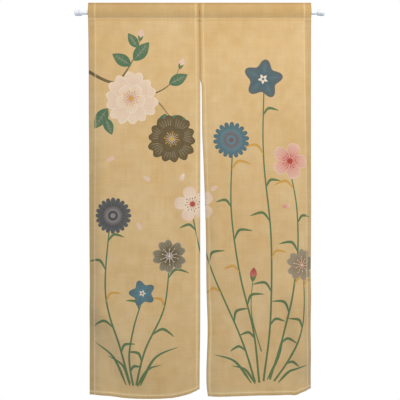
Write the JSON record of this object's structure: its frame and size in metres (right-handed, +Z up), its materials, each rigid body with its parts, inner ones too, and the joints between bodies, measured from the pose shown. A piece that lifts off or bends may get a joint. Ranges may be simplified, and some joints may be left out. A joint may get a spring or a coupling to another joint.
{
  "type": "noren curtain on a tension rod",
  "caption": "Split doorway curtain: cloth panels seamed at the top hang by rod pockets on a plain tension rod, their edges curling back towards the hem.",
  "frame": {"origin": "on the rod's axis, half-way between its ends", "axes": "+X along the rod to the right of a viewer in front, +Y away from that viewer, +Z up"},
  "size_m": [0.951, 0.0678, 1.5069],
  "materials": {
    "cloth": "matt plain weave, ochre ground",
    "enamel": "near-white satin enamel",
    "cap": "near-white soft plastic"
  },
  "bodies": {
    "root": {"panel_left": "cloth", "panel_right": "cloth", "rod": "enamel", "end_cap_left": "cap", "end_cap_right": "cap"}
  },
  "joints": []
}
